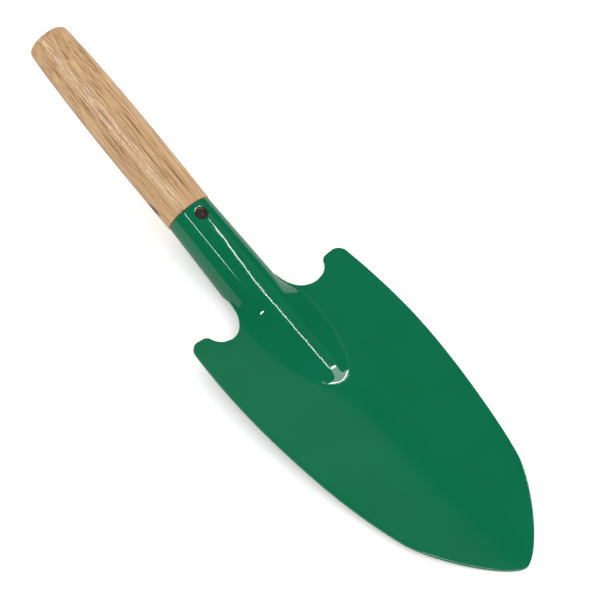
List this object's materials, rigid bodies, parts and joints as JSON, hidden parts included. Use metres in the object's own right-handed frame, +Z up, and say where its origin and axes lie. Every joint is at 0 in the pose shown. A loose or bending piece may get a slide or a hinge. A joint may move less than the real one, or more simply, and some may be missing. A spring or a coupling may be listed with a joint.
{
  "type": "hand transplanter",
  "caption": "Narrow pointed hand trowel: one pressed green steel blade with a rolled socket, riveted to a turned wooden handle.",
  "frame": {"origin": "middle of the tool's box, at the level it rests on", "axes": "+X along the tool from the handle's butt to the blade's tip, +Y sideways, +Z up with the tool lying on its socket and tip"},
  "size_m": [0.3228, 0.0922, 0.0534],
  "materials": {
    "green_paint": "glossy stoved green paint on pressed sheet steel",
    "pale_wood": "turned ash, clear lacquered, satin",
    "dark_steel": "dull, oxidised"
  },
  "bodies": {
    "root": {"blade_and_socket": "green_paint", "wooden_handle": "pale_wood", "socket_rivet": "dark_steel"}
  },
  "joints": []
}
